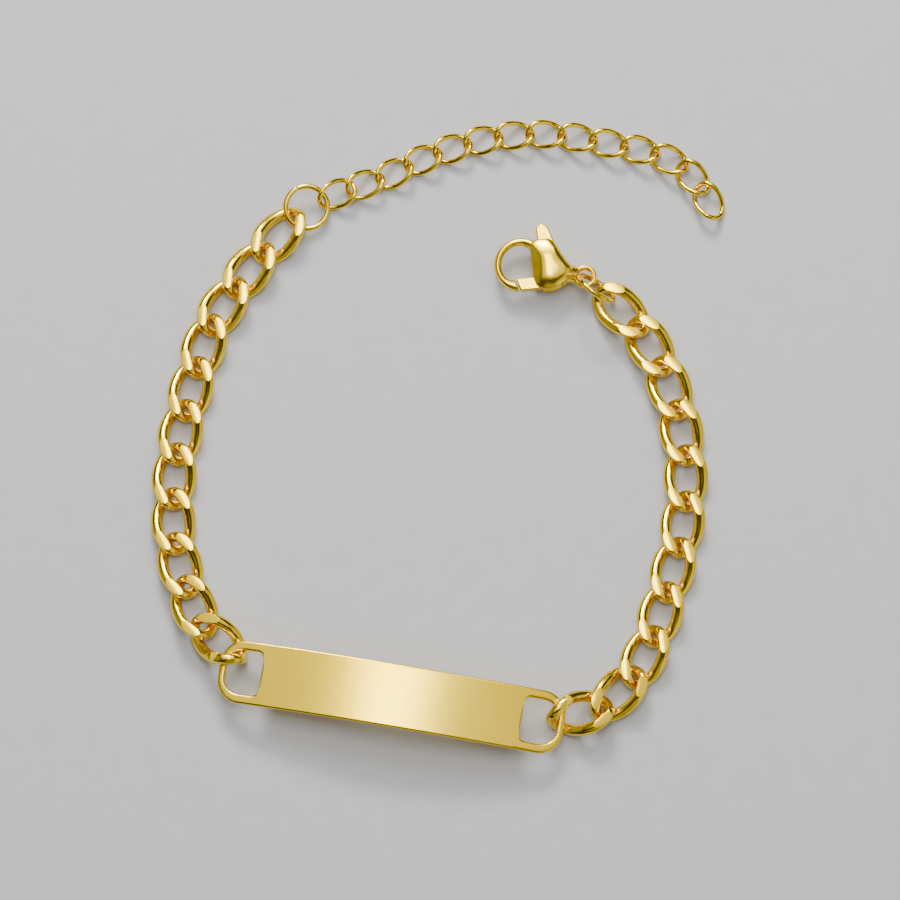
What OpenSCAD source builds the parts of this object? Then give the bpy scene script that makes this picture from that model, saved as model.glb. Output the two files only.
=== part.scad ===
// Curb chain bracelet with a blank bowed plate, an extender chain and a lobster clasp.
// It lies undone on a flat surface at z = 0, seen from above, with the plate nearest the viewer.
// All lengths are millimetres and all angles are degrees.

/* [Plate] */
// Length of the plate over its round ends
plate_l = 38.4; // [34:0.1:42]
// Width of the plate
plate_w = 7; // [6.5:0.1:8]
// Thickness of the plate
plate_t = 0.7; // [0.65:0.05:0.75]
// Height of the middle of the plate above its ends, which follows the wrist
plate_bow = 2.4; // [1.5:0.1:4.5]
// Height of the plate's ends above the surface
plate_lift = 1.3; // [1.25:0.05:1.35]
// Radius of the plate's corners
plate_corner_r = 2.7; // [2.2:0.1:3]
// Width of the rim that the chain passes around at each end
rim_w = 0.75; // [0.7:0.05:0.8]
// Width of the rim along both sides of each slot
side_rim_w = 1.05; // [0.95:0.01:1.1]
// Distance from the middle of the plate to the straight side of each slot
slot_start = 14.5; // [13.5:0.1:15.5]

/* [Curb chain] */
// Number of links in each curb chain
curb_count = 11; // [11:1:11]
// Length of a curb link over its wire
curb_l = 7.7; // [7.66:0.01:7.8]
// Width of a curb link over its wire
curb_w = 5.05; // [5:0.05:5.2]
// Diameter of the curb link's wire at its ends
curb_wire = 1.15; // [1.05:0.05:1.15]
// Angle by which each end of a curb link is twisted out of its plane
curb_twist = 45; // [43:1:48]
// Angle by which the first link of each curb chain is twisted where it passes around the plate's rim
rim_twist = 72; // [68:1:76]
// Thickness of the curb chain between its ground faces
curb_t = 2.2; // [2:0.05:2.4]

/* [Extender chain] */
// Number of links in the extender chain
extender_count = 14; // [14:1:14]
// Length of an extender link over its wire
extender_l = 4.75; // [4.7:0.01:4.8]
// Width of an extender link over its wire
extender_w = 3.4; // [3.3:0.05:3.6]
// Diameter of the extender link's wire
extender_wire = 0.56; // [0.5:0.02:0.58]
// Angle by which each end of an extender link is twisted out of its plane
extender_twist = 38; // [36:1:42]

/* [Jump rings] */
// Outer diameter of the ring between the left curb chain and the extender chain
extender_ring_d = 5.35; // [5.2:0.05:5.5]
// Outer diameter of the ring between the clasp and the right curb chain
clasp_ring_d = 5.1; // [5:0.05:5.2]
// Diameter of the wire of both rings
ring_wire = 0.62; // [0.6:0.01:0.64]

/* [Clasp] */
// Outer radius of the clasp's hook
hook_r = 3.1; // [3:0.05:3.2]
// Width of the hook's wire, seen from above
hook_wire = 0.75; // [0.7:0.01:0.8]
// Thickness of the clasp's body at its middle
clasp_t = 3.2; // [3:0.1:3.4]
// Thickness of the lever
lever_t = 1.1; // [1:0.05:1.2]
// Outer radius of the clasp's eye
eye_r = 1.28; // [1.2:0.01:1.35]
// Radius of the hole in the clasp's eye
eye_hole_r = 0.84; // [0.82:0.01:0.85]

/* [Hidden] */
gold = [0.86, 0.69, 0.27];
far = 100;

// Where the plate lies: its middle, and the direction of its long axis
plate_at = [-4.94, -29.22];
plate_turn = -9.5;

// Stretches of the left curb chain, from the plate to the big ring
left_start = [-17.84, 1.83];
left_heading = 140;
// links in the stretch, turn before each of its links, pitch, rise, roll, lean
left_run = [
    [1, 0, 4.71, 0.53, -2.8, 7.8],
    [1, -27.8, 4.94, 0.22, -1.3, 3.2],
    [1, -7.1, 4.98],
    [1, -11.8, 5.15],
    [1, -8, 5.02],
    [1, -5.8, 5],
    [1, -4, 5.08],
    [1, -2.8, 5.08],
    [1, -15.6, 5],
    [2, -4, 5.12]
];

// Stretches of the right curb chain, from the plate to the clasp
right_start = [18.38, 0.85];
right_heading = 11.2;
// links in the stretch, turn before each of its links, pitch, rise, roll, lean
right_run = [
    [1, 0, 4.91, 0.57, 5.2, 3.1],
    [1, 32.9, 5.15, 0.18, 6, 2.4],
    [1, 20.5, 5],
    [1, 9, 5.14],
    [1, 0.6, 5.22],
    [1, 7.2, 5.24],
    [1, 8.3, 5.16],
    [1, 10.2, 5.18],
    [1, 8.6, 5.22],
    [1, 11.3, 5.2],
    [1, 17, 5.17]
];

// Stretches of the extender chain, from the big ring to its free end
extender_heading = 27;
// links in the stretch, turn before each of its links, pitch, rise, roll, lean, own turn
extender_run = [
    [1, 0, 3.28, 0.38, 19.5, 0.6, -3],
    [1, -11.1, 3.55, 0.15, 2.4, 4.1, 7.6],
    [1, 12.5, 3.57],
    [3, -5.2, 3.57],
    [3, -7.6, 3.57],
    [2, -1.3, 3.57],
    [1, -13.1, 3.5],
    [1, -25.2, 3.34],
    [1, -13.2, 3.1]
];

// The point at distance r and angle a from the origin
function polar(r, a) = [r * cos(a), r * sin(a)];

// A plane point turned by a
function turned(p, a) = [p[0] * cos(a) - p[1] * sin(a), p[0] * sin(a) + p[1] * cos(a)];

// The sum of the first n entries of a list
function total(list, n) = n == 0 ? 0 * list[0] : list[n - 1] + total(list, n - 1);

// One entry for each link of a run, from column c of its rows, or 0 where a row is shorter
function column(run, c) = [for (row = run) for (i = [1:row[0]]) c < len(row) ? row[c] : 0];

// The direction of each link of a run, and the step that it takes along the chain
function headings(run, first) =
    let (turns = column(run, 1)) [for (i = [1:len(turns)]) first + total(turns, i)];
function steps(run, first) =
    let (pitches = column(run, 2), along = headings(run, first))
    [for (i = [0:len(along) - 1]) polar(pitches[i], along[i])];

// The middle of link i of a run, counted from 1, and the point where the whole run ends
function link_middle(run, start, first, i) =
    let (all = steps(run, first)) start + total(all, i - 1) + all[i - 1] / 2;
function run_end(run, start, first) =
    let (all = steps(run, first)) start + total(all, len(all));

left_from = plate_at + turned(left_start, plate_turn);
right_from = plate_at + turned(right_start, plate_turn);
left_end = run_end(left_run, left_from, left_heading);
right_end = run_end(right_run, right_from, right_heading);

// The middle line of a link: an oval of half length a and half width b, whose ends are twisted
// out of its plane about its long axis, the one up and the other down
oval_power = 2 / 2.4;
function oval(v) = sign(v) * pow(abs(v), oval_power);
function link_point(a, b, twist, t) =
    let (x = a * oval(cos(t)), y = b * oval(sin(t)), tilt = -twist[x < 0 ? 0 : 1] * x / a)
    [x, y * cos(tilt), y * sin(tilt)];

function unit(v) = v / norm(v);

// A closed link: a wire of six sides, swept in sixteen rings along its middle line
link_rings = 16;
wire_sides = 6;
module link(l, w, wire, fuller, twist) {
    a = (l - wire) / 2;
    b = (w - wire * fuller) / 2;
    corners = [
        for (i = [0:link_rings - 1])
        let (
            t = 360 * i / link_rings,
            along = unit(link_point(a, b, twist, t + 4) - link_point(a, b, twist, t - 4)),
            side = unit(cross([0, 0, 1], along)),
            up = cross(along, side),
            half_w = wire / 2 * (1 + (fuller - 1) * pow(sin(t), 2))
        )
        for (k = [0:wire_sides - 1])
        link_point(a, b, twist, t)
            + side * half_w * cos(360 * k / wire_sides)
            + up * wire / 2 * sin(360 * k / wire_sides) / cos(180 / wire_sides)
    ];
    faces = [
        for (i = [0:link_rings - 1]) for (k = [0:wire_sides - 1])
        let (i2 = (i + 1) % link_rings, k2 = (k + 1) % wire_sides)
        each [
            [i * wire_sides + k, i2 * wire_sides + k, i2 * wire_sides + k2],
            [i * wire_sides + k, i2 * wire_sides + k2, i * wire_sides + k2]
        ]
    ];
    polyhedron(corners, faces, convexity = 6);
}

// A curb link, ground flat above and below. Link 1 is twisted more at its start, around the plate's
// rim, and isn't ground there.
module curb_link(i) {
    intersection() {
        link(curb_l, curb_w, curb_wire, 1.15, [i == 1 ? rim_twist : curb_twist, curb_twist]);
        union() {
            cube([far, far, curb_t], center = true);
            if (i == 1) translate([-far / 2 - curb_l / 6, 0, 0]) cube(far, center = true);
        }
    }
}

// Puts children in the place of link i of a run: turned along the chain and then by its own turn,
// rolled about its own long axis, leaning along it, and raised above z
module chain_link(run, start, first, i, z) {
    translate(concat(link_middle(run, start, first, i), z + column(run, 3)[i - 1]))
        rotate([column(run, 4)[i - 1], column(run, 5)[i - 1],
            headings(run, first)[i - 1] + column(run, 6)[i - 1]])
            children();
}

module left_curb_link(i) {
    color(gold)
        chain_link(left_run, left_from, left_heading, i, curb_t / 2) curb_link(i);
}

module right_curb_link(i) {
    color(gold)
        chain_link(right_run, right_from, right_heading, i, curb_t / 2) curb_link(i);
}

// A rounded rectangle from x0 to x1 and w wide, with one corner radius at each end
module rounded(x0, x1, w, r0, r1) {
    for (y = [-1, 1]) {
        translate([x0 + r0, y * (w / 2 - r0)]) circle(r0, $fn = 48);
        translate([x1 - r1, y * (w / 2 - r1)]) circle(r1, $fn = 48);
    }
    translate([x0 + r0, -w / 2]) square([x1 - r1 - x0 - r0, w]);
    translate([x0, r0 - w / 2]) square([r0 * 2, w - 2 * r0]);
    translate([x1 - r1 * 2, r1 - w / 2]) square([r1 * 2, w - 2 * r1]);
}

// The blank plate, bowed along its length, with a slot at each end for the chain
slot_inner_r = 0.8;
plate_bend_r = (pow(plate_l / 2, 2) + pow(plate_bow, 2)) / (2 * plate_bow);
module id_plate() {
    color(gold)
        translate(concat(plate_at, 0)) rotate(plate_turn)
            intersection() {
                translate([0, 0, plate_lift + plate_bow - plate_bend_r]) rotate([90, 0, 0])
                    difference() {
                        cylinder(r = plate_bend_r + plate_t, h = plate_w + 2, center = true, $fn = 360);
                        cylinder(r = plate_bend_r, h = plate_w + 4, center = true, $fn = 360);
                    }
                linear_extrude(plate_lift + plate_bow + plate_t + 1)
                    difference() {
                        rounded(-plate_l / 2, plate_l / 2, plate_w, plate_corner_r, plate_corner_r);
                        for (side = [0, 1]) mirror([side, 0])
                            rounded(slot_start, plate_l / 2 - rim_w, plate_w - 2 * side_rim_w,
                                slot_inner_r, plate_corner_r - rim_w);
                    }
            }
}

// The round ring that holds the extender chain to the left curb chain, with its cut ends apart
seam = 3;
seam_at = 115;
extender_ring_at = left_end + polar(1.914, 39.3);
extender_ring_z = 1.23;
extender_ring_axis = 30;
extender_ring_tilt = 11.8;
module extender_jump_ring() {
    color(gold)
        translate(concat(extender_ring_at, extender_ring_z))
            rotate([extender_ring_tilt, 0, extender_ring_axis])
                rotate(seam_at - extender_ring_axis + seam / 2)
                    rotate_extrude(angle = 360 - seam, $fn = 72)
                        translate([(extender_ring_d - ring_wire) / 2, 0])
                            circle(d = ring_wire, $fn = 24);
}

// The extender chain, whose first link hangs in the ring
extender_z = 0.79;
extender_from = extender_ring_at + polar(2.06, 22.3);
module extender_link(i) {
    color(gold)
        chain_link(extender_run, extender_from, extender_heading, i, extender_z)
            link(extender_l, extender_w, extender_wire, 1, [extender_twist, extender_twist]);
}

// The steep ring that holds the clasp to the right curb chain
clasp_ring_turn = -37;
clasp_ring_lean = 116;
clasp_ring_at = [17.87, 16.66, 2.33];
module clasp_jump_ring() {
    color(gold)
        translate(clasp_ring_at) rotate([clasp_ring_lean, 0, clasp_ring_turn])
            rotate_extrude($fn = 72)
                translate([(clasp_ring_d - ring_wire) / 2, 0]) circle(d = ring_wire, $fn = 24);
}

// The clasp's own frame: its eye at the origin, its hook towards -x, its lever's tab towards +y
clasp_turn = -11.4;
eye_at = [16.58, 18.09];
hook_at = [-7.2, -0.1];
pivot_at = [-4.1, -0.1];
module in_clasp_frame() {
    translate(concat(eye_at, clasp_t / 2)) rotate(clasp_turn) children();
}

// Outlines of the clasp's body, its hook's blunt tip, and the lever, from above
body_outline = [
    [-6.75, 2.6], [-6.3, 1.6], [-5.95, 0.4], [-5.6, -1.1], [-5.1, -2], [-4.5, -2.42], [-3.6, -2.42],
    [-2.9, -2], [-2.3, -1.2], [-1.6, -0.65], [-1.6, 0.65], [-2.3, 1.05], [-3.3, 1.95], [-4.1, 2.8],
    [-5.3, 3]
];
tip_outline = [[-7.4, -1.95], [-6.8, -3.12], [-7.3, -3.2], [-8, -3.09], [-8.7, -2.6], [-8.2, -2.2]];
lever_outline = [
    [-5.9, 4.8], [-5.4, 4.88], [-5.15, 4.6], [-3.4, 2.05], [-3.1, 0.4], [-3.3, -0.9], [-4.3, -2.3],
    [-6.55, -3], [-7.15, -1.87], [-5.5, -1.25], [-4.95, -0.5], [-5, 0.8], [-5.8, 3], [-6.25, 4.2]
];
dome_r = 4.6;
dome_at = [-4.3, 0.3];
hook_h = 1.2;
eye_t = 0.9;
slot_t = lever_t + 0.2;
slot_x = [-6, -2.35];
rivet_r = 0.4;
module clasp_body() {
    color(gold) in_clasp_frame()
        difference() {
            union() {
                intersection() {
                    linear_extrude(clasp_t, center = true) polygon(body_outline);
                    for (side = [-1, 1])
                        translate(concat(dome_at, side * (dome_r - clasp_t / 2)))
                            sphere(dome_r, $fn = 96);
                }
                translate(concat(hook_at, 0)) rotate(62)
                    rotate_extrude(angle = 196, $fn = 96)
                        translate([hook_r - hook_wire / 2, 0]) {
                            square([hook_wire, hook_h - hook_wire], center = true);
                            for (side = [-1, 1]) translate([0, side * (hook_h - hook_wire) / 2])
                                circle(d = hook_wire, $fn = 24);
                        }
                linear_extrude(hook_h - 0.1, center = true) polygon(tip_outline);
                cylinder(r = eye_r, h = eye_t, center = true, $fn = 48);
                translate([-2.6, -0.6, -eye_t / 2]) cube([2, 1.2, eye_t]);
            }
            cylinder(r = eye_hole_r, h = far, center = true, $fn = 48);
            translate([slot_x[0], -far / 2, -slot_t / 2]) cube([slot_x[1] - slot_x[0], far, slot_t]);
            translate(concat(pivot_at, 0))
                cylinder(r = rivet_r + 0.02, h = far, center = true, $fn = 32);
        }
}

// The lever: a tab for the thumb and a gate that shuts the hook, on the rivet
module clasp_lever() {
    color(gold) in_clasp_frame()
        difference() {
            linear_extrude(lever_t, center = true) polygon(lever_outline);
            translate(concat(pivot_at, 0))
                cylinder(r = rivet_r + 0.06, h = far, center = true, $fn = 32);
        }
}

module clasp_rivet() {
    color(gold) in_clasp_frame()
        translate(concat(pivot_at, 0))
            cylinder(r = rivet_r, h = clasp_t - 0.1, center = true, $fn = 32);
}

// Puts the origin at the middle of the whole outline, on the surface
outline_middle = [0.343, 0.451];
module placed() {
    translate([-outline_middle[0], -outline_middle[1], 0]) children();
}

placed() id_plate();
for (i = [1:curb_count]) {
    placed() left_curb_link(i);
    placed() right_curb_link(i);
}
placed() extender_jump_ring();
for (i = [1:extender_count])
    placed() extender_link(i);
placed() clasp_jump_ring();
placed() clasp_body();
placed() clasp_lever();
placed() clasp_rivet();
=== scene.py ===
"""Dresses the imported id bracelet: curb chains, a blank bowed plate, an extender chain and a clasp.

The fields of the classes hold millimetres and degrees, and a mesh is made in metres from them.
"""

import logging
import math
from collections.abc import Callable, Sequence
from dataclasses import dataclass, replace
from enum import Enum
from typing import NamedTuple

import bmesh
import bpy
from mathutils import Euler, Matrix, Vector


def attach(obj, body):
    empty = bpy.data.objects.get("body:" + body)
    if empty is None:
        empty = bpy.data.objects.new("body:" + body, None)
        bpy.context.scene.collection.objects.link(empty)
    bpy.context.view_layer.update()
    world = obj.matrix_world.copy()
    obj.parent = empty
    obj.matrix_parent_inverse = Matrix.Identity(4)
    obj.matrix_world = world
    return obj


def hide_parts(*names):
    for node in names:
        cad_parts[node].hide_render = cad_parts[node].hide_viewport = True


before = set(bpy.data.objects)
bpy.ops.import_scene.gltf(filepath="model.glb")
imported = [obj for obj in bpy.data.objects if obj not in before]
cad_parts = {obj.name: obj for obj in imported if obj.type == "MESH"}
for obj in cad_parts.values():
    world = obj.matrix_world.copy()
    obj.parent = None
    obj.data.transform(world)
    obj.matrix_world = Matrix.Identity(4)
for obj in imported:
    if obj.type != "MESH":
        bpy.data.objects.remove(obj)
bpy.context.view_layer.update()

MM = 0.001
UP = Vector((0, 0, 1))
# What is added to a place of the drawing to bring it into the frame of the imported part
MIDDLE = Vector((-0.343, -0.451, 0))
# How near, in metres, two places have to be to count as one: on exact, cut and inset faces
FINE = 1e-8
CLOSE = 1e-7
COARSE = 1e-6
Pair = tuple[float, float]
Triple = tuple[float, float, float]
log = logging.getLogger("bracelet")


class Part(Enum):
    """The moving parts of the bracelet, by the name of the body that a piece rides on."""

    CHAIN = "bracelet"
    LEVER = "lever"


class Kind(Enum):
    """What is selected in a mesh, by the name of its list there."""

    VERT = "verts"
    FACE = "faces"


# Workbench: one mesh at a time is opened, shaped in edit mode and closed.


def deselect() -> None:
    """Leaves no object selected and none active."""
    for thing in bpy.context.selected_objects:
        thing.select_set(False)
    bpy.context.view_layer.objects.active = None


def choose(piece: bpy.types.Object) -> None:
    """Leaves one piece selected and active.

    Args:
        piece: The piece.
    """
    deselect()
    piece.select_set(True)
    bpy.context.view_layer.objects.active = piece


def open_piece(name: str) -> bpy.types.Object:
    """Adds an empty mesh and opens it in edit mode.

    Args:
        name: The name of the new piece.

    Returns:
        The new object, active and in edit mode.
    """
    deselect()
    bpy.ops.object.add(type="MESH", enter_editmode=True, location=(0, 0, 0))
    piece = bpy.context.object
    piece.name = name
    piece.data.name = name
    return piece


def reopen(piece: bpy.types.Object) -> None:
    """Opens a piece in edit mode again, with nothing selected.

    Args:
        piece: The piece to open.
    """
    choose(piece)
    bpy.ops.object.mode_set(mode="EDIT")
    bpy.ops.mesh.select_all(action="DESELECT")


def close_piece(smooth_angle: float = 40.0) -> None:
    """Merges doubles, turns the normals outwards, leaves edit mode and shades the piece.

    Args:
        smooth_angle: Edges that turn by less than this angle are shaded smooth.
    """
    bpy.ops.mesh.select_all(action="SELECT")
    bpy.ops.mesh.remove_doubles(threshold=0.0005 * MM)
    bpy.ops.mesh.normals_make_consistent(inside=False)
    bpy.ops.object.mode_set(mode="OBJECT")
    bpy.ops.object.shade_smooth_by_angle(angle=math.radians(smooth_angle))


def select_all_faces() -> None:
    """Selects everything in the open piece, as faces."""
    bpy.ops.mesh.select_mode(type="FACE")
    bpy.ops.mesh.select_all(action="SELECT")


def raise_faces(height: float) -> None:
    """Extrudes the selected faces straight up by a height in millimetres."""
    bpy.ops.mesh.extrude_region_move(TRANSFORM_OT_translate={"value": (0, 0, height * MM)})


def soften(width: float, segments: int) -> None:
    """Bevels the selected edges to a width in millimetres, in so many segments."""
    bpy.ops.mesh.bevel(offset=width * MM, segments=segments, affect="EDGES", clamp_overlap=False)


def pick(piece: bpy.types.Object, kind: Kind, test: Callable[[Vector], bool]) -> None:
    """Selects the vertices or the faces whose place passes a test, and nothing else.

    Args:
        piece: The piece that is open in edit mode.
        kind: What is selected.
        test: Says from a place, in metres, whether what stands there is wanted. A face's place is its
            centre.
    """
    bpy.ops.mesh.select_all(action="DESELECT")
    bpy.ops.mesh.select_mode(type=kind.name)
    shape = bmesh.from_edit_mesh(piece.data)
    for item in getattr(shape, kind.value):
        spot = item.co if kind is Kind.VERT else item.calc_center_median()
        item.select_set(test(spot))
    shape.select_flush_mode()
    bmesh.update_edit_mesh(piece.data)


def pick_sharp(piece: bpy.types.Object, test: Callable[[Vector], bool], least: float = 50.0) -> None:
    """Selects the edges that turn by more than an angle and whose middle passes a test.

    Args:
        piece: The piece that is open in edit mode.
        test: Says from the middle of an edge, in metres, whether the edge is wanted.
        least: The angle between the two faces of the edge, in degrees, that has to be passed.
    """
    bpy.ops.mesh.select_all(action="DESELECT")
    bpy.ops.mesh.select_mode(type="EDGE")
    shape = bmesh.from_edit_mesh(piece.data)
    for edge in shape.edges:
        folded = len(edge.link_faces) == 2 and edge.calc_face_angle(0.0) > math.radians(least)
        edge.select_set(folded and test((edge.verts[0].co + edge.verts[1].co) / 2))
    shape.select_flush_mode()
    bmesh.update_edit_mesh(piece.data)


def add_ring(spot: Vector, turn: Euler, radius: float, sides: int, flat: Pair) -> None:
    """Adds one section of a wire, an open circle at its size and place, to the open piece.

    Args:
        spot: The middle of the section, in millimetres.
        turn: How the section is turned.
        radius: The radius of the wire, in millimetres.
        sides: How many corners the section has.
        flat: How much wider and how much higher the section is than a round one.
    """
    bpy.ops.mesh.primitive_circle_add(
        vertices=sides, radius=radius * MM, location=spot * MM, rotation=turn
    )
    bpy.ops.transform.resize(
        value=(flat[0], flat[1], 1),
        orient_type="GLOBAL",
        orient_matrix=turn.to_matrix(),
        orient_matrix_type="GLOBAL",
        center_override=spot * MM,
    )


def facing(along: Vector, side: Vector) -> Euler:
    """How a section is turned whose wire runs along one direction and is widest along another."""
    return Matrix((side, along.cross(side), side.cross(along.cross(side)))).transposed().to_euler()


def apply_place(piece: bpy.types.Object, place: Matrix) -> None:
    """Moves a piece to its place and puts that place into its mesh.

    Args:
        piece: The piece to move.
        place: Where it goes, in metres.
    """
    choose(piece)
    piece.matrix_world = place
    bpy.ops.object.transform_apply(location=True, rotation=True, scale=True)


def apply_modifier(piece: bpy.types.Object, kind: str, **values: object) -> None:
    """Adds a modifier and applies it.

    Args:
        piece: The piece that the modifier changes.
        kind: The type of the modifier.
        **values: The modifier's own settings.
    """
    choose(piece)
    modifier = piece.modifiers.new(kind.lower(), kind)
    for key, value in values.items():
        setattr(modifier, key, value)
    bpy.ops.object.modifier_apply(modifier=modifier.name)


def copy_piece(piece: bpy.types.Object, name: str) -> bpy.types.Object:
    """Copies a piece with a mesh of its own.

    Args:
        piece: The piece to copy.
        name: The name of the copy and of its mesh.

    Returns:
        The copy.
    """
    twin = piece.copy()
    twin.data = piece.data.copy()
    twin.name = name
    twin.data.name = name
    bpy.context.scene.collection.objects.link(twin)
    return twin


def join_pieces(pieces: Sequence[bpy.types.Object], name: str) -> bpy.types.Object:
    """Joins the pieces of one cast part into the first of them.

    Args:
        pieces: The pieces to join.
        name: The name of the joined piece.

    Returns:
        The joined piece.
    """
    deselect()
    for piece in pieces:
        piece.select_set(True)
    bpy.context.view_layer.objects.active = pieces[0]
    bpy.ops.object.join()
    pieces[0].name = name
    return pieces[0]


def remove_piece(piece: bpy.types.Object) -> None:
    """Deletes a pattern piece once it has been copied."""
    bpy.data.objects.remove(piece)


def millimetres(x: float, y: float, z: float = 0.0) -> Vector:
    """A place of the drawing, in millimetres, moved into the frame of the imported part."""
    return Vector((x, y, z)) + MIDDLE


def beside(spot: Vector, far: float, heading: float) -> Vector:
    """The place at a distance and a direction, in degrees, from another."""
    angle = math.radians(heading)
    return spot + Vector((math.cos(angle), math.sin(angle), 0)) * far


def place_at(spot: Vector, lean: float = 0.0, tip: float = 0.0, turn: float = 0.0) -> Matrix:
    """The place of a piece: leant about x, tipped about y, turned about z and then moved.

    Args:
        spot: Where the piece's own middle goes, in millimetres.
        lean: Angle about the x axis, in degrees.
        tip: Angle about the y axis, in degrees.
        turn: Angle about the z axis, in degrees.

    Returns:
        The matrix that puts the piece there, in metres.
    """
    angles = Euler([math.radians(angle) for angle in (lean, tip, turn)], "XYZ")
    return Matrix.Translation(spot * MM) @ angles.to_matrix().to_4x4()


# Finishes


def add_node(tree: bpy.types.NodeTree, kind: str, **values: object) -> bpy.types.Node:
    """Adds a shader node and sets its properties, or its inputs where a name is none of those.

    Args:
        tree: The node tree that gets the node.
        kind: The type of the node.
        **values: The values of the properties and inputs, by their names in small letters.

    Returns:
        The new node.
    """
    node = tree.nodes.new(kind)
    for key, value in values.items():
        if hasattr(node, key):
            setattr(node, key, value)
        else:
            node.inputs[key.replace("_", " ").title()].default_value = value
    return node


def polish_group() -> bpy.types.NodeTree:
    """The node group of a worn polish: clouds of tone, hairlines and a faint hammering of the surface.

    Returns:
        The group, whose outputs are Color, Roughness and Height.
    """
    name = "worn_polish"
    if name in bpy.data.node_groups:
        return bpy.data.node_groups[name]
    group = bpy.data.node_groups.new(name, "ShaderNodeTree")
    for in_out, kind, labels in (
        ("INPUT", "NodeSocketColor", ("Deep", "Pale")),
        ("INPUT", "NodeSocketFloat", ("Cloud Scale", "Line Scale", "Gloss", "Dull")),
        ("OUTPUT", "NodeSocketColor", ("Color",)),
        ("OUTPUT", "NodeSocketFloat", ("Roughness", "Height")),
    ):
        for label in labels:
            group.interface.new_socket(name=label, in_out=in_out, socket_type=kind)
    inputs = group.nodes.new("NodeGroupInput")
    outputs = group.nodes.new("NodeGroupOutput")
    where = add_node(group, "ShaderNodeTexCoord")
    cloud = add_node(group, "ShaderNodeTexNoise", detail=3.0, roughness=0.55)
    grain = add_node(group, "ShaderNodeTexNoise", detail=4.0, roughness=0.6)
    stretch = add_node(group, "ShaderNodeMapping", scale=(1, 14, 6), rotation=(0, 0, 0.5))
    tone = add_node(group, "ShaderNodeMix", data_type="RGBA")
    spread = add_node(group, "ShaderNodeMapRange", from_min=0.35, from_max=0.68)
    rub = add_node(group, "ShaderNodeMapRange", from_min=0.45, from_max=0.75)
    link = group.links.new
    link(where.outputs["Object"], cloud.inputs["Vector"])
    link(where.outputs["Object"], stretch.inputs["Vector"])
    link(stretch.outputs["Vector"], grain.inputs["Vector"])
    link(inputs.outputs["Cloud Scale"], cloud.inputs["Scale"])
    link(inputs.outputs["Line Scale"], grain.inputs["Scale"])
    link(cloud.outputs["Fac"], spread.inputs["Value"])
    link(spread.outputs["Result"], tone.inputs["Factor"])
    link(inputs.outputs["Deep"], tone.inputs["A"])
    link(inputs.outputs["Pale"], tone.inputs["B"])
    link(grain.outputs["Fac"], rub.inputs["Value"])
    link(inputs.outputs["Gloss"], rub.inputs["To Min"])
    link(inputs.outputs["Dull"], rub.inputs["To Max"])
    link(tone.outputs["Result"], outputs.inputs["Color"])
    link(rub.outputs["Result"], outputs.inputs["Roughness"])
    link(grain.outputs["Fac"], outputs.inputs["Height"])
    return group


@dataclass(frozen=True)
class Polish:
    """A polished gold plating.

    Attributes:
        name: The material's name.
        deep: The colour of the darker clouds.
        pale: The colour of the paler clouds.
        cloud_scale: How many clouds there are to a metre.
        line_scale: How many hairlines there are to a metre.
        gloss: The roughness where the polish is freshest.
        dull: The roughness where it has been rubbed.
        relief: The strength of the bump.
        depth: The depth of the hairlines.
    """

    name: str
    deep: Triple = (0.9, 0.59, 0.02)
    pale: Triple = (0.97, 0.7, 0.04)
    cloud_scale: float = 900.0
    line_scale: float = 2500.0
    gloss: float = 0.12
    dull: float = 0.24
    relief: float = 0.05
    depth: float = 0.02

    def material(self) -> bpy.types.Material:
        """Makes the material of this finish the first time that it is asked for.

        Returns:
            The material.
        """
        if self.name in bpy.data.materials:
            return bpy.data.materials[self.name]
        material = bpy.data.materials.new(self.name)
        material.use_nodes = True
        tree = material.node_tree
        shader = tree.nodes["Principled BSDF"]
        shader.inputs["Metallic"].default_value = 1.0
        worn = add_node(
            tree,
            "ShaderNodeGroup",
            node_tree=polish_group(),
            deep=(*self.deep, 1.0),
            pale=(*self.pale, 1.0),
            cloud_scale=self.cloud_scale,
            line_scale=self.line_scale,
            gloss=self.gloss,
            dull=self.dull,
        )
        bump = add_node(tree, "ShaderNodeBump", strength=self.relief, distance=self.depth * MM)
        tree.links.new(worn.outputs["Color"], shader.inputs["Base Color"])
        tree.links.new(worn.outputs["Roughness"], shader.inputs["Roughness"])
        tree.links.new(worn.outputs["Height"], bump.inputs["Height"])
        tree.links.new(bump.outputs["Normal"], shader.inputs["Normal"])
        return material


LINK_POLISH = Polish("curb_link_polish", gloss=0.15, dull=0.28)
WIRE_POLISH = Polish("wire_polish", gloss=0.1, dull=0.2, cloud_scale=1400.0)
PLATE_POLISH = Polish(
    "plate_polish",
    deep=(0.92, 0.62, 0.02),
    pale=(0.97, 0.68, 0.04),
    cloud_scale=120.0,
    line_scale=900.0,
    gloss=0.2,
    dull=0.27,
    relief=0.03,
)
CAST_POLISH = Polish("clasp_polish", gloss=0.2, dull=0.3, cloud_scale=600.0)
PIN_POLISH = Polish("rivet_polish", gloss=0.22, dull=0.34, deep=(0.6, 0.38, 0.08))


def settle(piece: bpy.types.Object, node: str, part: Part, polish: Polish) -> None:
    """Gives a piece its finish and its body, hides the node that it stands for, and reports it.

    Args:
        piece: The finished piece.
        node: The node that it stands for.
        part: The moving part that it rides on.
        polish: Its finish.
    """
    piece.data.materials.clear()
    piece.data.materials.append(polish.material())
    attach(piece, part.value)
    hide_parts(node)
    log.info("%s stands for %s with %d faces", piece.name, node, len(piece.data.polygons))


# Chains


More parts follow.
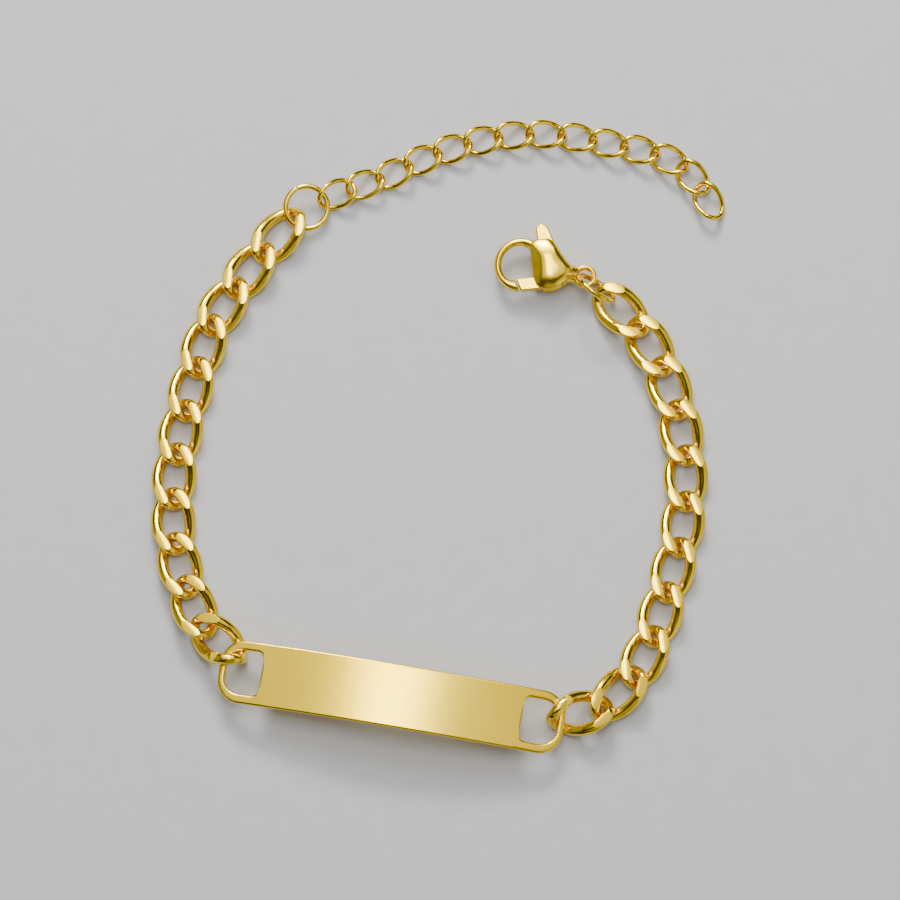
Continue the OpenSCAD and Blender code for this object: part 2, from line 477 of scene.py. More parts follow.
@dataclass(frozen=True)
class Stretch:
    """A few links of a chain that lie alike.

    Attributes:
        links: How many links there are.
        turn: The angle by which the chain turns before each of them.
        pitch: How far each of them takes the chain on.
        rise: How far each of them is raised.
        roll: The angle about its own long axis.
        lean: The angle by which its far end dips.
        own_turn: The angle by which it is turned out of the chain's direction.
    """

    links: int
    turn: float
    pitch: float
    rise: float = 0.0
    roll: float = 0.0
    lean: float = 0.0
    own_turn: float = 0.0


@dataclass(frozen=True)
class Route:
    """The way that a chain takes over the surface.

    Attributes:
        start: Where the first link starts, in the drawing.
        heading: The direction of the first link before its own turn.
        level: The height of the chain's middle.
        stretches: The stretches in their order.
    """

    start: Pair
    heading: float
    level: float
    stretches: tuple[Stretch, ...]

    def steps(self) -> list[tuple[Stretch, float, Vector]]:
        """Follows the chain from link to link.

        Returns:
            The stretch, the heading and the starting point of each link, in the order of the chain.
        """
        found = []
        spot = Vector((*self.start, self.level))
        heading = self.heading
        for stretch in self.stretches:
            for _ in range(stretch.links):
                heading += stretch.turn
                found.append((stretch, heading, spot))
                spot = beside(spot, stretch.pitch, heading)
        return found

    def places(self) -> list[Matrix]:
        """Works out how each link lies.

        Returns:
            The place of each link, in the order of the chain.
        """
        found = []
        for stretch, heading, spot in self.steps():
            middle = beside(spot, stretch.pitch / 2, heading) + UP * stretch.rise
            turn = heading + stretch.own_turn
            found.append(place_at(millimetres(*middle), stretch.roll, stretch.lean, turn))
        return found

    def end(self) -> Vector:
        """Where the last link ends, in the drawing."""
        stretch, heading, spot = self.steps()[-1]
        return beside(spot, stretch.pitch, heading)


@dataclass(frozen=True)
class LinkForm:
    """The form of a link: an oval of wire whose ends are twisted out of its plane.

    Attributes:
        length: The length over the wire.
        width: The width over the wire.
        wire: The diameter of the wire at the link's ends.
        fuller: How much wider the wire is along the link's sides.
        near_twist: The twist of the end that comes first along the chain.
        far_twist: The twist of the other end.
        ground: The thickness between the ground faces, or 0 where the link isn't ground.
        near_ground: Whether the first end is ground as well.
        rings: How many sections the wire has.
        sides: How many corners a section has.
        squareness: The power of the oval, which is 2 for an ellipse.
        soft_edge: The width of the softened edges of the ground faces.
        smooth: Edges that turn by less than this angle are shaded smooth.
    """

    length: float
    width: float
    wire: float
    fuller: float
    near_twist: float
    far_twist: float
    ground: float = 0.0
    near_ground: bool = True
    rings: int = 72
    sides: int = 18
    squareness: float = 2.4
    soft_edge: float = 0.045
    smooth: float = 28.0

    def middle_line(self, angle: float) -> Vector:
        """The middle line of the wire, an oval whose ends are twisted.

        Args:
            angle: The angle around the link, in radians.

        Returns:
            The point there, in millimetres.
        """
        half_long = (self.length - self.wire) / 2
        half_wide = (self.width - self.wire * self.fuller) / 2
        cos, sin = math.cos(angle), math.sin(angle)
        x = half_long * math.copysign(abs(cos) ** (2 / self.squareness), cos)
        y = half_wide * math.copysign(abs(sin) ** (2 / self.squareness), sin)
        twist = self.near_twist if x < 0 else self.far_twist
        tilt = math.radians(-twist * x / half_long)
        return Vector((x, y * math.cos(tilt), y * math.sin(tilt)))

    def build(self, name: str) -> bpy.types.Object:
        """Bridges the sections of the wire into a closed link and grinds it flat.

        Args:
            name: The name of the pattern piece.

        Returns:
            The link at the origin, along the x axis.
        """
        link = open_piece(name)
        # How far to both sides, in radians, the wire's direction is read
        look = 0.03
        for number in range(self.rings):
            angle = math.tau * number / self.rings
            spot = self.middle_line(angle)
            along = (self.middle_line(angle + look) - self.middle_line(angle - look)).normalized()
            side = UP.cross(along).normalized()
            wider = 1 + (self.fuller - 1) * math.sin(angle) ** 2
            add_ring(spot, facing(along, side), self.wire / 2, self.sides, (wider, 1))
        bpy.ops.mesh.select_all(action="SELECT")
        bpy.ops.mesh.bridge_edge_loops(type="CLOSED", use_merge=False)
        close_piece(smooth_angle=self.smooth)
        if self.ground:
            self.grind(link)
        return link

    def grind(self, link: bpy.types.Object) -> None:
        """Cuts the two flat faces that run over the raised strands, and softens their edges.

        Args:
            link: The link at the origin, closed.
        """
        block = 2 * self.length
        # Where the near end isn't ground, the first third of the link is spared
        start = -self.length if self.near_ground else -self.length / 6
        for way in (1, -1):
            deselect()
            bpy.ops.mesh.primitive_cube_add(
                size=block * MM,
                location=((start + block / 2) * MM, 0, way * (self.ground + block) / 2 * MM),
            )
            wheel = bpy.context.object
            apply_modifier(link, "BOOLEAN", operation="DIFFERENCE", solver="EXACT", object=wheel)
            remove_piece(wheel)
        reopen(link)
        pick_sharp(link, lambda spot: abs(abs(spot.z) - self.ground / 2 * MM) < CLOSE, least=12)
        bpy.ops.mesh.bevel(
            offset=self.soft_edge * MM, segments=2, affect="EDGES", clamp_overlap=True
        )
        close_piece(smooth_angle=self.smooth)


@dataclass
class Chain:
    """A chain of links along a route.

    Attributes:
        node: The name of the nodes, without their number.
        route: Where the links lie.
        form: The form of the links.
        polish: Their finish.
        first: The form of the first link, where it has one of its own.
    """

    node: str
    route: Route
    form: LinkForm
    polish: Polish
    first: LinkForm | None = None

    def build(self) -> None:
        """Builds each form once and lays a copy of it at each link's place."""
        pattern = self.form.build(f"{self.node}_pattern")
        opener = self.first.build(f"{self.node}_opener") if self.first else None
        for number, place in enumerate(self.route.places(), 1):
            source = opener if opener and number == 1 else pattern
            link = copy_piece(source, f"polished_{self.node}_{number}")
            apply_place(link, place)
            settle(link, f"{self.node}_{number}", Part.CHAIN, self.polish)
        for spare in (pattern, opener):
            if spare:
                remove_piece(spare)


# Jump rings


@dataclass
class JumpRing:
    """A round ring of wire whose cut ends nearly meet.

    Attributes:
        node: The node that the ring stands for.
        place: Where the ring lies.
        across: The outer diameter.
        wire: The diameter of the wire.
        seam: The angle between the cut ends.
        seam_at: Where the seam is, as an angle around the ring.
        turns: How many sections the wire has.
        sides: How many corners a section has.
        soft_edge: The width of the softened edges of the cut ends.
    """

    node: str
    place: Matrix
    across: float
    wire: float
    seam: float
    seam_at: float
    turns: int = 96
    sides: int = 20
    soft_edge: float = 0.04

    def build(self) -> None:
        """Spins the wire's section round to a ring with flat cut ends."""
        ring = open_piece(f"polished_{self.node}")
        begin = math.radians(self.seam_at + self.seam / 2)
        radius = (self.across - self.wire) / 2
        bpy.ops.mesh.primitive_circle_add(
            vertices=self.sides,
            radius=self.wire / 2 * MM,
            fill_type="NGON",
            location=(radius * math.cos(begin) * MM, radius * math.sin(begin) * MM, 0),
            rotation=(math.pi / 2, 0, begin),
        )
        bpy.ops.mesh.spin(
            steps=self.turns,
            angle=math.radians(360 - self.seam),
            center=(0, 0, 0),
            axis=(0, 0, 1),
        )
        pick_sharp(ring, lambda spot: True, least=60)
        soften(self.soft_edge, segments=2)
        close_piece(smooth_angle=30)
        apply_place(ring, self.place)
        settle(ring, self.node, Part.CHAIN, WIRE_POLISH)


# Plate


@dataclass
class IdPlate:
    """The blank plate, bowed along its length, with a slot at each end.

    Attributes:
        length: The length over the round ends, once bowed.
        width: The width.
        thick: The thickness.
        bow: The height of the middle above the ends.
        lift: The height of the ends above the surface.
        corner: The radius of the corners.
        rim: The width of the rim that the chain passes around at each end.
        side_rim: The width of the rim along both sides of each slot.
        slot_start: The distance from the middle to each slot's straight side.
        slot_corner: The radius of the slots' inner corners.
        soft_top: The radius of the rounded upper edges.
        soft_under: The radius of the rounded lower edges.
        middle: Where its middle lies, in the drawing.
        turn: The direction of its length.
        cross_cuts: How many cuts across it each half gets, so that it can bend.
        cut_pitch: The distance between them.
    """

    length: float = 38.4
    width: float = 7.0
    thick: float = 0.7
    bow: float = 2.4
    lift: float = 1.3
    corner: float = 2.7
    rim: float = 0.75
    side_rim: float = 1.05
    slot_start: float = 14.5
    slot_corner: float = 0.8
    soft_top: float = 0.24
    soft_under: float = 0.14
    middle: Pair = (-4.94, -29.22)
    turn: float = -9.5
    cross_cuts: int = 30
    cut_pitch: float = 0.64

    def bend_radius(self) -> float:
        """The radius of the plate's underside along its length."""
        return ((self.length / 2) ** 2 + self.bow**2) / (2 * self.bow)

    def build(self) -> None:
        """Builds the flat blank, bends it and lays it in its place."""
        plate = self.blank()
        self.bend(plate)
        apply_modifier(plate, "WEIGHTED_NORMAL", weight=80, keep_sharp=True)
        raised = self.lift + self.bow
        apply_place(plate, place_at(millimetres(*self.middle, raised), turn=self.turn))
        settle(plate, "id_plate", Part.CHAIN, PLATE_POLISH)

    def blank(self) -> bpy.types.Object:
        """The flat plate with its two slots and soft edges, before it is bent.

        Returns:
            The plate, with its underside on the plane z = 0.
        """
        radius = self.bend_radius()
        half = radius * math.asin(self.length / 2 / (radius + self.thick / 2))
        plate = open_piece("polished_id_plate")
        bpy.ops.mesh.primitive_plane_add(size=MM)
        bpy.ops.transform.resize(value=(2 * half, self.width, 1))
        bpy.ops.mesh.bevel(
            offset=self.corner * MM, segments=16, affect="VERTICES", clamp_overlap=False
        )
        for way in (1, -1):
            self.cut_slot(plate, way, half)
        select_all_faces()
        raise_faces(self.thick)
        for height, soft in ((self.thick, self.soft_top), (0.0, self.soft_under)):
            pick_sharp(plate, lambda spot: abs(spot.z - height * MM) < FINE)
            soften(soft, segments=4)
        for number in range(-self.cross_cuts, self.cross_cuts + 1):
            cut = number * self.cut_pitch * MM
            bpy.ops.mesh.select_all(action="SELECT")
            bpy.ops.mesh.bisect(plane_co=(cut, 0, 0), plane_no=(1, 0, 0), threshold=FINE)
        close_piece(smooth_angle=30)
        return plate

    def cut_slot(self, plate: bpy.types.Object, way: int, half: float) -> None:
        """Cuts the slot of one end out of the flat sheet.

        Args:
            plate: The sheet, open in edit mode.
            way: 1 for the right end and -1 for the left.
            half: Half the length of the flat sheet, in millimetres.
        """
        start = (self.slot_start - self.rim) * MM
        bpy.ops.mesh.select_all(action="SELECT")
        bpy.ops.mesh.bisect(plane_co=(way * start, 0, 0), plane_no=(1, 0, 0), threshold=FINE)
        pick(plate, Kind.FACE, lambda spot: way * spot.x > start)
        bpy.ops.mesh.inset(thickness=self.rim * MM, depth=0)
        inner = self.slot_start * MM
        edge = (self.width / 2 - self.rim) * MM
        pick(
            plate,
            Kind.VERT,
            lambda spot: abs(way * spot.x - inner) < COARSE and abs(abs(spot.y) - edge) < COARSE,
        )
        bpy.ops.mesh.bevel(offset=self.slot_corner * MM, segments=6, affect="VERTICES")
        centre = (inner + (half - self.rim) * MM) / 2
        # The slot's own face is the only one whose centre is near the slot's
        far_long, far_wide = 0.5 * MM, 0.1 * MM
        pick(
            plate,
            Kind.FACE,
            lambda spot: abs(way * spot.x - centre) < far_long and abs(spot.y) < far_wide,
        )
        narrower = (self.width / 2 - self.side_rim) / (self.width / 2 - self.rim)
        bpy.ops.transform.resize(value=(1, narrower, 1), center_override=(0, 0, 0))
        bpy.ops.mesh.delete(type="ONLY_FACE")

    def bend(self, plate: bpy.types.Object) -> None:
        """Bends the flat plate to its bow, its ends going down.

        Args:
            plate: The flat plate, closed.
        """
        apply_place(plate, Matrix.Rotation(math.pi / 2, 4, "X"))
        long = plate.dimensions.x / MM
        apply_modifier(
            plate,
            "SIMPLE_DEFORM",
            deform_method="BEND",
            deform_axis="Z",
            angle=long / self.bend_radius(),
        )
        apply_place(plate, Matrix.Rotation(-math.pi / 2, 4, "X"))


# Clasp


class DomeStep(NamedTuple):
    """One step of a shell's dome: its outline's size, its height and the x that it draws in to."""

    size: float
    height: float
    across: float


class HookStep(NamedTuple):
    """One section of the hook: its angle around the hook, its width, its height and its skew."""

    angle: float
    wide: float
    high: float
    skew: float


class NeckStep(NamedTuple):
    """One section of the neck: its x, half its width and half its height."""

    along: float
    wide: float
    high: float


@dataclass
class LobsterClasp:
    """The lobster clasp: two domed shells with a hook and an eye, a lever and a rivet.

    Its own frame has the eye at the origin, the hook towards -x and the thumb tab towards +y.

    Attributes:
        eye_at: Where the eye lies, in the drawing.
        turn: The direction of the clasp's x axis.
        thick: The thickness of the whole clasp.
        hook_at: The middle of the hook's circle.
        hook_outer: The outer radius of the hook.
        hook_spacing: The degrees between the hook's sections.
        tube_sides: How many corners a section of the hook has, and one of the neck.
        pivot_at: Where the rivet stands.
        slot: The width of the slot between the shells.
        lever_thick: The thickness of the lever.
        lever_corner: How far the corners of the lever's outline are rounded.
        lever_soft: How far its edges are softened.
        rivet_radius: The radius of the rivet.
        rivet_sunk: How far its heads lie below the top and the bottom.
        rivet_soft: How far its heads are rounded.
        eye_outer: The outer radius of the eye before it is smoothed.
        eye_hole: The radius of its hole before it is smoothed.
        eye_thick: Its height before it is smoothed.
        grain: The size of the cells in which the casting is run together.
        smoothing: How strongly the casting is smoothed.
        passes: How many times it is smoothed.
        dome_y: The y that the shell's outline draws in to.
        shell_outline: The corners of the shells.
        lever_outline: The corners of the lever.
        dome_steps: The steps of the shells' dome.
        hook_steps: The hook's sections from its root to its tip.
        neck_steps: The neck's sections from the shells to the eye.
    """

    eye_at: Pair = (16.58, 18.09)
    turn: float = -11.4
    thick: float = 3.2
    hook_at: Pair = (-7.2, -0.1)
    hook_outer: float = 3.1
    hook_spacing: float = 5.0
    tube_sides: tuple[int, int] = (20, 24)
    pivot_at: Pair = (-4.1, -0.1)
    slot: float = 1.3
    lever_thick: float = 1.1
    lever_corner: float = 0.22
    lever_soft: float = 0.16
    rivet_radius: float = 0.4
    rivet_sunk: float = 0.05
    rivet_soft: float = 0.14
    eye_outer: float = 1.37
    eye_hole: float = 0.74
    eye_thick: float = 1.1
    grain: float = 0.07
    smoothing: float = 0.6
    passes: int = 14
    dome_y: float = 0.3
    shell_outline: tuple[Pair, ...] = (
        (-6.9, 2.55),
        (-6.6, 1.6),
        (-6.15, 0.4),
        (-5.85, -1.0),
        (-5.35, -2.05),
        (-4.6, -2.5),
        (-3.55, -2.45),
        (-2.75, -2.0),
        (-2.1, -1.3),
        (-1.6, -0.8),
        (-1.4, 0.0),
        (-1.6, 0.8),
        (-2.3, 1.25),
        (-3.35, 2.3),
        (-4.4, 3.55),
        (-5.7, 3.25),
    )
    lever_outline: tuple[Pair, ...] = (
        (-6.2, 4.75),
        (-5.6, 4.95),
        (-5.1, 4.6),
        (-4.3, 3.4),
        (-3.4, 2.1),
        (-3.1, 0.4),
        (-3.3, -0.9),
        (-4.3, -2.3),
        (-6.7, -3.05),
        (-7.47, -1.9),
        (-5.5, -1.25),
        (-4.95, -0.5),
        (-5.0, 0.8),
        (-6.0, 3.0),
        (-6.5, 4.3),
    )
    # size, height, across
    dome_steps: tuple[DomeStep, ...] = (
        DomeStep(1.0, 0.88, -4.0),
        DomeStep(0.9, 1.08, -3.2),
        DomeStep(0.76, 1.3, -3.2),
        DomeStep(0.58, 1.5, -3.7),
        DomeStep(0.38, 1.6, -4.0),
        DomeStep(0.15, 1.62, -4.0),
    )
    # angle, wide, high, skew
    hook_steps: tuple[HookStep, ...] = (
        HookStep(58, 1.6, 2.4, 0),
        HookStep(64, 1.5, 2.3, 0),
        HookStep(70, 1.35, 2.1, 0),
        HookStep(77, 1.17, 1.85, 0),
        HookStep(86, 1.02, 1.6, 0),
        HookStep(96, 0.92, 1.42, 0),
        HookStep(110, 0.86, 1.3, 0),
        HookStep(225, 0.85, 1.25, 0),
        HookStep(240, 0.92, 1.2, 0),
        HookStep(252, 1.08, 1.2, 9),
        HookStep(262, 1.22, 1.2, 20),
        HookStep(270, 1.3, 1.2, 31),
    )
    # along, wide, high
    neck_steps: tuple[NeckStep, ...] = (
        NeckStep(-2.85, 1.3, 1.35),
        NeckStep(-2.3, 1.18, 1.2),
        NeckStep(-1.8, 1.06, 1.05),
        NeckStep(-1.35, 0.95, 0.92),
        NeckStep(-0.95, 0.86, 0.8),
    )

    def place(self) -> Matrix:
        """The place of the clasp's own frame."""
        return place_at(millimetres(*self.eye_at, self.thick / 2), turn=self.turn)

    def build(self) -> None:
        """Builds the body, the lever and the rivet."""
        for piece, node, part, polish in (
            (self.body(), "clasp_body", Part.CHAIN, CAST_POLISH),
            (self.lever(), "clasp_lever", Part.LEVER, CAST_POLISH),
            (self.rivet(), "clasp_rivet", Part.CHAIN, PIN_POLISH),
        ):
            apply_place(piece, self.place())
            settle(piece, node, part, polish)

    def body(self) -> bpy.types.Object:
        """Runs both shells, the hook, the neck and the eye together as one casting.

        Returns:
            The body, in the clasp's own frame.
        """
        shell = self.shell()
        under = copy_piece(shell, "under_shell")
        apply_place(under, Matrix.Scale(-1, 4, UP))
        reopen(under)
        close_piece(smooth_angle=50)
        parts = [shell, under, self.hook(), self.neck(), self.eye()]
        body = join_pieces(parts, "polished_clasp_body")
        apply_modifier(body, "REMESH", mode="VOXEL", voxel_size=self.grain * MM)
        apply_modifier(body, "SMOOTH", factor=self.smoothing, iterations=self.passes)
        reopen(body)
        close_piece(smooth_angle=60)
        return body

    def lay_face(self, piece: bpy.types.Object, outline: tuple[Pair, ...], height: float) -> None:
        """Adds a flat face with an outline to the open piece.

        Args:
            piece: The piece that is open in edit mode.
            outline: The corners in their order around the shape.
            height: The height of the face.
        """
        bpy.ops.mesh.primitive_circle_add(
            vertices=len(outline), radius=MM, fill_type="NGON", location=(0, 0, height * MM)
        )
        shape = bmesh.from_edit_mesh(piece.data)
        shape.verts.ensure_lookup_table()
        starts = [vert.co.copy() for vert in shape.verts]
        for number, (x, y) in enumerate(outline):
            goal = Vector((x, y, height)) * MM
            pick(piece, Kind.VERT, lambda spot: (spot - starts[number]).length < FINE)
            bpy.ops.transform.translate(value=goal - starts[number])
        bpy.ops.mesh.select_all(action="SELECT")

    def shell(self) -> bpy.types.Object:
        """Raises the outline in steps to a dome, and subdivides it.

        Returns:
            The upper shell.
        """
        shell = open_piece("upper_shell")
        self.lay_face(shell, self.shell_outline, self.slot / 2)
        bpy.ops.mesh.select_mode(type="FACE")
        size, height = 1.0, self.slot / 2
        for step in self.dome_steps:
            raise_faces(step.height - height)
            ratio = step.size / size
            centre = Vector((step.across, self.dome_y, 0)) * MM
            bpy.ops.transform.resize(value=(ratio, ratio, 1), center_override=centre)
            size, height = step.size, step.height
        close_piece(smooth_angle=60)
        apply_modifier(shell, "SUBSURF", levels=3, render_levels=3)
        return shell

    def hook(self) -> bpy.types.Object:
        """Bridges sections around the hook's circle, wider at its root and its blunt tip.

        Returns:
            The hook.
        """
        hook = open_piece("hook")
        for step, last in zip(self.hook_steps, self.hook_steps[1:]):
            count = max(1, round((last.angle - step.angle) / self.hook_spacing))
            for number in range(count):
                share = number / count
                self.add_hook_section(HookStep(*(a + (b - a) * share for a, b in zip(step, last))))
        self.add_hook_section(self.hook_steps[-1])
        return self.close_tube(hook)

    def close_tube(self, tube: bpy.types.Object) -> bpy.types.Object:
        """Bridges the sections of the open piece and closes its two ends.

        Args:
            tube: The piece, open in edit mode, with its sections in their order.

        Returns:
            The same piece, closed.
        """
        bpy.ops.mesh.select_all(action="SELECT")
        bpy.ops.mesh.bridge_edge_loops(type="SINGLE", use_merge=False)
        bpy.ops.mesh.select_all(action="SELECT")
        bpy.ops.mesh.fill_holes(sides=0)
        close_piece(smooth_angle=50)
        return tube

    def add_hook_section(self, step: HookStep) -> None:
        """Adds one section of the hook to the open piece.

        Args:
            step: The section's angle, size and skew.
        """
        angle = math.radians(step.angle)
        out = Vector((math.cos(angle), math.sin(angle), 0))
        spot = Vector((*self.hook_at, 0)) + out * (self.hook_outer - step.wide / 2)
        slant = math.radians(step.angle + step.skew)
        side = Vector((math.cos(slant), math.sin(slant), 0))
        wide = step.wide / math.cos(math.radians(step.skew))
        turn = facing(UP.cross(side), side)
        add_ring(spot, turn, wide / 2, self.tube_sides[0], (1, step.high / wide))

    def neck(self) -> bpy.types.Object:
        """Bridges the sections of the neck, which tapers from the shells to the eye.

        Returns:
            The neck.
        """
        neck = open_piece("neck")
        turn = facing(Vector((1, 0, 0)), Vector((0, 1, 0)))
        for step in self.neck_steps:
            spot = Vector((step.along, 0, 0))
            add_ring(spot, turn, step.wide, self.tube_sides[1], (1, step.high / step.wide))
        return self.close_tube(neck)

    def eye(self) -> bpy.types.Object:
        """Makes the eye, a ring that is higher than its rim is wide.

        Returns:
            The eye.
        """
        eye = open_piece("eye")
        wire = (self.eye_outer - self.eye_hole) / 2
        bpy.ops.mesh.primitive_torus_add(
            major_segments=56,
            minor_segments=16,
            major_radius=(self.eye_outer + self.eye_hole) / 2 * MM,
            minor_radius=wire * MM,
        )
        bpy.ops.transform.resize(value=(1, 1, self.eye_thick / 2 / wire))
        close_piece(smooth_angle=50)
        return eye

    def lever(self) -> bpy.types.Object:
        """Rounds the corners of the lever's outline, makes it thick and softens its edges.

        Returns:
            The lever, in the clasp's own frame.
        """
        lever = open_piece("polished_clasp_lever")
        self.lay_face(lever, self.lever_outline, -self.lever_thick / 2)
        bpy.ops.mesh.bevel(
            offset=self.lever_corner * MM, segments=5, affect="VERTICES", clamp_overlap=True
        )
        select_all_faces()
        raise_faces(self.lever_thick)
        pick_sharp(lever, lambda spot: abs(abs(spot.z) - self.lever_thick / 2 * MM) < FINE)
        soften(self.lever_soft, segments=4)
        close_piece(smooth_angle=40)
        apply_modifier(lever, "WEIGHTED_NORMAL", weight=80, keep_sharp=True)
        return lever

    def rivet(self) -> bpy.types.Object:
        """Makes the rivet, a pin with softly rounded heads.

        Returns:
            The rivet, in the clasp's own frame.
        """
        rivet = open_piece("polished_clasp_rivet")
        bpy.ops.mesh.primitive_cylinder_add(
            vertices=40,
            radius=self.rivet_radius * MM,
            depth=(self.thick - 2 * self.rivet_sunk) * MM,
            location=(self.pivot_at[0] * MM, self.pivot_at[1] * MM, 0),
        )
        pick_sharp(rivet, lambda spot: True, least=60)
        soften(self.rivet_soft, segments=4)
        close_piece(smooth_angle=40)
        return rivet


# Studio


@dataclass(frozen=True)
class SoftBox:
    """A soft box that faces the middle of the bracelet.

    Attributes:
        name: The light's name.
        away: The direction to the light.
        distance: How far away it is.
        size: Its width and its height.
        watts: Its strength.
    """

    name: str
    away: Triple
    distance: float
    size: Pair
    watts: float

    def hang(self) -> None:
        """Adds the light, one of its sides square to the y axis."""
        away = Vector(self.away).normalized()
        level = Vector((0, 1, 0)).cross(away).normalized()
        turn = Matrix((level, away.cross(level), away)).transposed().to_euler()
        deselect()
        bpy.ops.object.light_add(type="AREA", location=away * self.distance * MM, rotation=turn)
        light = bpy.context.object
        light.name = self.name
        light.data.shape = "RECTANGLE"
        light.data.size = self.size[0] * MM
        light.data.size_y = self.size[1] * MM
        light.data.energy = self.watts


@dataclass
class Studio:
    """The pale floor, the soft lights and the camera.

    Attributes:
        aim: What the camera looks at.
        tilt: The angle of the camera away from straight down.
        distance: How far the camera is from its aim.
        lens: Its focal length.
        sensor: The width of its sensor.
        floor_size: The side of the floor.
        paper_deep: The darker tone of the floor.
        paper_pale: The paler tone of the floor.
        glow: The colour of the air around.
        glow_strength: Its strength.
        lights: The soft boxes: two above, two behind, one at each side and a weak one in front.
    """

    aim: Triple = (1.157, -1.921, 1.1)
    tilt: float = 10.0
    distance: float = 500.0
    lens: float = 180.0
    sensor: float = 36.0
    floor_size: float = 1200.0
    paper_deep: Triple = (0.52, 0.52, 0.52)
    paper_pale: Triple = (0.58, 0.58, 0.585)
    glow: Triple = (0.9, 0.93, 1.0)
    glow_strength: float = 0.05
    # name, away, distance, size, watts
    lights: tuple[SoftBox, ...] = (
        SoftBox("wide_box", (0.0, 0.17, 0.98), 620, (900, 560), 1.7),
        SoftBox("core_box", (-0.02, 0.19, 0.97), 600, (110, 300), 1.1),
        SoftBox("back_box", (-0.05, 0.72, 0.69), 620, (620, 240), 2.4),
        SoftBox("right_box", (0.8, -0.3, 0.45), 620, (460, 800), 0.9),
        SoftBox("left_box", (-0.9, 0.05, 0.43), 620, (400, 700), 0.3),
        SoftBox("front_box", (0.25, -0.84, 0.47), 620, (800, 300), 0.3),
        SoftBox("key_box", (-0.1, 0.84, 0.53), 600, (200, 120), 3.4),
    )

    def build(self) -> None:
        """Builds the floor, the lights and the camera."""
        self.lay_floor()
        for light in self.lights:
            light.hang()
        self.light_air()
        self.set_camera()

    def lay_floor(self) -> None:
        """Lays a large plain sheet with a little grain under the bracelet."""
        deselect()
        bpy.ops.mesh.primitive_plane_add(size=self.floor_size * MM, location=(0, 0, 0))
        floor = bpy.context.object
        floor.name = "floor"
        material = bpy.data.materials.new("pale_paper")
        material.use_nodes = True
        tree = material.node_tree
        shader = tree.nodes["Principled BSDF"]
        shader.inputs["Roughness"].default_value = 0.8
        where = add_node(tree, "ShaderNodeTexCoord")
        noise = add_node(tree, "ShaderNodeTexNoise", detail=5.0, scale=400.0)
        tone = add_node(tree, "ShaderNodeMix", data_type="RGBA")
        tone.inputs["A"].default_value = (*self.paper_deep, 1)
        tone.inputs["B"].default_value = (*self.paper_pale, 1)
        tree.links.new(where.outputs["Object"], noise.inputs["Vector"])
        tree.links.new(noise.outputs["Fac"], tone.inputs["Factor"])
        tree.links.new(tone.outputs["Result"], shader.inputs["Base Color"])
        floor.data.materials.append(material)

    def light_air(self) -> None:
        """Gives the air around a faint even light."""
        world = bpy.data.worlds.new("studio")
        world.use_nodes = True
        air = world.node_tree.nodes["Background"]
        air.inputs["Color"].default_value = (*self.glow, 1)
        air.inputs["Strength"].default_value = self.glow_strength
        bpy.context.scene.world = world

    def set_camera(self) -> None:
        """Sets the camera at the photograph's angle."""
        tilt = math.radians(self.tilt)
        spot = Vector(self.aim) + Vector((0, -math.sin(tilt), math.cos(tilt))) * self.distance
        deselect()
        bpy.ops.object.camera_add(location=spot * MM, rotation=(tilt, 0, 0))
        camera = bpy.context.object
        camera.name = "camera"
        camera.data.lens = self.lens
        camera.data.sensor_width = self.sensor
        camera.data.clip_start = 0.01
        bpy.context.scene.camera = camera


# The rows of the routes give links, turn, pitch, rise, roll, lean and own_turn.

LEFT_ROUTE = Route(
    start=(-22.2333, -24.4707),
    heading=140,
    level=1.1,
    stretches=(
        Stretch(1, 0, 4.71, 0.53, -2.8, 7.8),
        Stretch(1, -27.8, 4.94, 0.22, -1.3, 3.2),
        Stretch(1, -7.1, 4.98),
        Stretch(1, -11.8, 5.15),
        Stretch(1, -8, 5.02),
        Stretch(1, -5.8, 5),
        Stretch(1, -4, 5.08),
        Stretch(1, -2.8, 5.08),
        Stretch(1, -15.6, 5),
        Stretch(2, -4, 5.12),
    ),
)
RIGHT_ROUTE = Route(
    start=(13.3282, -31.4152),
    heading=11.2,
    level=1.1,
    stretches=(
        Stretch(1, 0, 4.91, 0.57, 5.2, 3.1),
        Stretch(1, 32.9, 5.15, 0.18, 6, 2.4),
        Stretch(1, 20.5, 5),
        Stretch(1, 9, 5.14),
        Stretch(1, 0.6, 5.22),
        Stretch(1, 7.2, 5.24),
        Stretch(1, 8.3, 5.16),
        Stretch(1, 10.2, 5.18),
        Stretch(1, 8.6, 5.22),
        Stretch(1, 11.3, 5.2),
        Stretch(1, 17, 5.17),
    ),
)
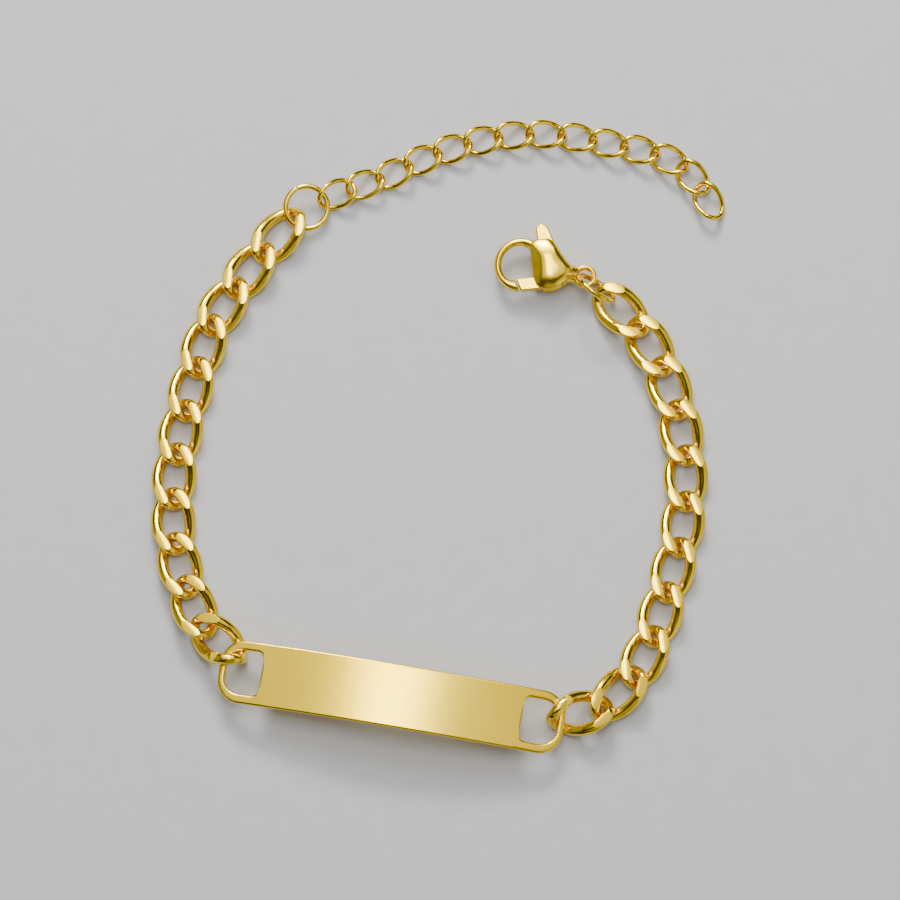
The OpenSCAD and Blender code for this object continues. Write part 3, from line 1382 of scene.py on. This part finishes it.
CURB = LinkForm(
    length=7.7, width=5.05, wire=1.15, fuller=1.15, near_twist=45, far_twist=45, ground=2.2
)
RIM_CURB = replace(CURB, near_twist=72, near_ground=False)
FINE_LINK = LinkForm(
    length=4.75, width=3.4, wire=0.56, fuller=1, near_twist=38, far_twist=38, rings=56, sides=14
)


def extender_route(ring_spot: Vector) -> Route:
    """The way of the extender chain, which starts in the big jump ring.

    Args:
        ring_spot: The middle of the ring, in the drawing.

    Returns:
        The route from the ring to the free end.
    """
    start = beside(ring_spot, far=2.06, heading=22.3)
    return Route(
        start=(start.x, start.y),
        heading=27,
        level=0.79,
        stretches=(
            Stretch(1, 0, 3.28, 0.38, 19.5, 0.6, -3),
            Stretch(1, -11.1, 3.55, 0.15, 2.4, 4.1, 7.6),
            Stretch(1, 12.5, 3.57),
            Stretch(3, -5.2, 3.57),
            Stretch(3, -7.6, 3.57),
            Stretch(2, -1.3, 3.57),
            Stretch(1, -13.1, 3.5),
            Stretch(1, -25.2, 3.34),
            Stretch(1, -13.2, 3.1),
        ),
    )


def main() -> None:
    """Builds the bracelet piece by piece."""
    logging.basicConfig(level=logging.INFO, format="%(name)s: %(message)s")
    ring_spot = beside(LEFT_ROUTE.end(), far=1.914, heading=39.3)
    ring_spot.z = 1.23
    big_ring = place_at(millimetres(*ring_spot), lean=11.8, turn=30)
    small_ring = place_at(millimetres(17.87, 16.66, 2.33), lean=116, turn=-37)
    wire = 0.62
    for builder in (
        IdPlate(),
        Chain("left_curb_link", LEFT_ROUTE, CURB, LINK_POLISH, RIM_CURB),
        Chain("right_curb_link", RIGHT_ROUTE, CURB, LINK_POLISH, RIM_CURB),
        JumpRing("extender_jump_ring", big_ring, across=5.35, wire=wire, seam=3, seam_at=85),
        Chain("extender_link", extender_route(ring_spot), FINE_LINK, WIRE_POLISH),
        JumpRing("clasp_jump_ring", small_ring, across=5.1, wire=wire, seam=0.8, seam_at=200),
        LobsterClasp(),
        Studio(),
    ):
        builder.build()


if __name__ == "__main__":
    main()
